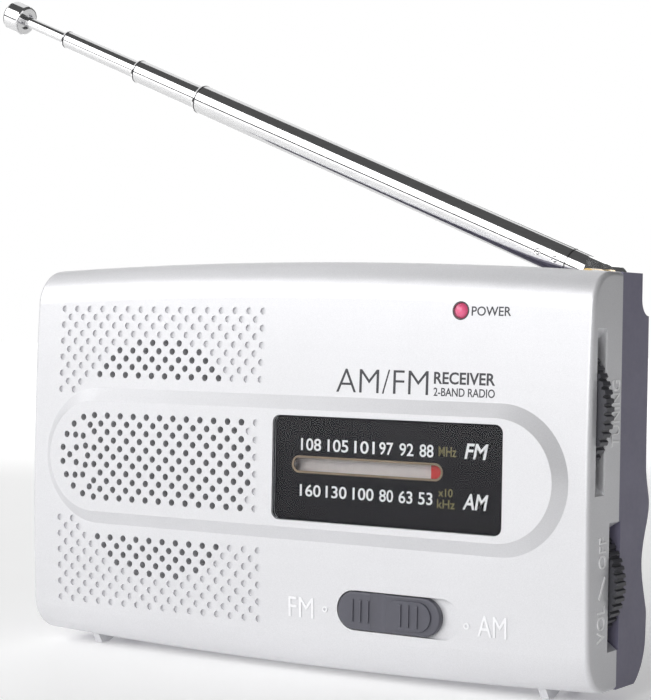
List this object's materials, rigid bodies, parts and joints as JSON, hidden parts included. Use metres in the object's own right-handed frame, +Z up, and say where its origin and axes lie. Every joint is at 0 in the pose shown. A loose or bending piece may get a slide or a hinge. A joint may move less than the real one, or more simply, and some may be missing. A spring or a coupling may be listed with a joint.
{
  "type": "portable radio",
  "caption": "Slim tabletop radio with stadium grille and dial, thumbwheels, band slider and a telescopic aerial; speaker, gears and cells inside.",
  "frame": {"origin": "centre of the plane the feet stand on, at the seam between the two shells", "axes": "+Z up, -Y out of the speaker and dial face, +X towards the end with the thumbwheels"},
  "size_m": [0.143, 0.0261, 0.1286],
  "materials": {
    "silver_plastic": "fine silver paint on moulded plastic",
    "grey_plastic": "satin",
    "lens_clear": "clear gloss",
    "dial_print": "printed film",
    "dial_strip": "printed card",
    "pointer_red": "gloss",
    "light_red": "translucent gloss",
    "wheel_plastic": "satin",
    "nylon_white": "semi-gloss",
    "brass_plain": "turned",
    "screw_steel": "zinc plated",
    "slider_plastic": "satin",
    "plated_sheet": "bright plated sheet",
    "board_laminate": "paper laminate",
    "tuner_plastic": "milky",
    "cone_paper": "pressed paper",
    "ferrite_dark": "sintered",
    "chip_black": "moulded",
    "can_metal": "satin",
    "core_yellow": "painted ferrite",
    "sleeve_dark": "shrink sleeve",
    "component_tan": "dipped lacquer",
    "coil_copper": "enamelled wire",
    "socket_black": "gloss",
    "cell_wrap": "gloss wrap",
    "aerial_chrome": "polished"
  },
  "bodies": {
    "radio_body": {"front_shell": "silver_plastic", "rear_shell": "grey_plastic", "dial_lens": "lens_clear", "dial_mask": "dial_print", "dial_backing": "dial_strip", "idler_axle": "brass_plain", "tuning_capacitor": "tuner_plastic", "volume_pot": "plated_sheet", "band_switch_body": "plated_sheet", "switch_board": "board_laminate", "power_led": "light_red", "speaker_basket": "plated_sheet", "speaker_cone": "cone_paper", "speaker_dust_cap": "cone_paper", "speaker_magnet": "ferrite_dark", "speaker_yoke": "plated_sheet", "speaker_screws": "screw_steel", "main_board": "board_laminate", "board_screws": "screw_steel", "radio_chip": "chip_black", "if_cans": "can_metal", "if_cores": "core_yellow", "electrolytic_capacitors": "sleeve_dark", "small_components": "component_tan", "ferrite_rod": "ferrite_dark", "ferrite_coil": "coil_copper", "ferrite_clips": "nylon_white", "earphone_jack": "socket_black", "cell_upper": "cell_wrap", "cell_lower": "cell_wrap", "bridge_contact": "plated_sheet", "negative_contact": "plated_sheet", "positive_contact": "plated_sheet", "case_screws": "screw_steel", "antenna_insert": "brass_plain", "antenna_washer": "screw_steel", "antenna_pivot_screw": "screw_steel"},
    "tuning_wheel": {"tuning_wheel": "wheel_plastic", "tuning_shaft": "brass_plain", "tuning_wheel_screw": "screw_steel"},
    "idler_gear": {"idler_gear": "nylon_white"},
    "dial_pointer": {"pointer_rack": "nylon_white", "dial_pointer": "pointer_red"},
    "volume_wheel": {"volume_wheel": "wheel_plastic", "volume_shaft": "brass_plain", "volume_wheel_screw": "screw_steel"},
    "band_knob": {"band_switch_knob": "slider_plastic"},
    "battery_door": {"battery_door": "grey_plastic"},
    "antenna_arm": {"antenna_base": "aerial_chrome", "antenna_outer_tube": "aerial_chrome"},
    "antenna_middle": {"antenna_middle_tube": "aerial_chrome"},
    "antenna_inner": {"antenna_inner_tube": "aerial_chrome"},
    "antenna_tip": {"antenna_rod": "aerial_chrome", "antenna_knob": "aerial_chrome"}
  },
  "joints": [
    {"name": "tuning_turn", "type": "hinge", "parent": "radio_body", "child": "tuning_wheel", "pos_m": [0.0472, -0.0078, 0.0493], "axis": [0, -1, 0], "range_deg": [0, 180]},
    {"name": "idler_turn", "type": "hinge", "parent": "radio_body", "child": "idler_gear", "pos_m": [0.02697, -0.0055, 0.046], "axis": [0, -1, 0], "range_deg": [-128, 0]},
    {"name": "pointer_slide", "type": "slide", "parent": "radio_body", "child": "dial_pointer", "axis": [1, 0, 0], "range_m": [-0.02675, 0]},
    {"name": "volume_turn", "type": "hinge", "parent": "radio_body", "child": "volume_wheel", "pos_m": [0.0494, -0.001, 0.0199], "axis": [0, -1, 0], "range_deg": [0, 270]},
    {"name": "band_slide", "type": "slide", "parent": "radio_body", "child": "band_knob", "axis": [1, 0, 0], "range_m": [0, 0.0037]},
    {"name": "battery_door_hinge", "type": "hinge", "parent": "radio_body", "child": "battery_door", "pos_m": [0.0095, 0.0102, 0.0096], "axis": [-1, 0, 0], "range_deg": [0, 90]},
    {"name": "aerial_tilt", "type": "hinge", "parent": "radio_body", "child": "antenna_arm", "pos_m": [0.055, 0.0042, 0.0711], "axis": [0, 1, 0], "range_deg": [-22, 68]},
    {"name": "aerial_middle_slide", "type": "slide", "parent": "antenna_arm", "child": "antenna_middle", "axis": [-0.9272, 0, 0.3746], "range_m": [-0.0155, 0.053]},
    {"name": "aerial_inner_slide", "type": "slide", "parent": "antenna_middle", "child": "antenna_inner", "axis": [-0.9272, 0, 0.3746], "range_m": [-0.019, 0.046]},
    {"name": "aerial_tip_slide", "type": "slide", "parent": "antenna_inner", "child": "antenna_tip", "axis": [-0.9272, 0, 0.3746], "range_m": [-0.0105, 0.05]}
  ],
  "couplings": [
    {"joint": "idler_turn", "follows": "tuning_turn", "ratio": -0.70833},
    {"joint": "pointer_slide", "follows": "tuning_turn", "m_per_rad": -0.0085}
  ]
}
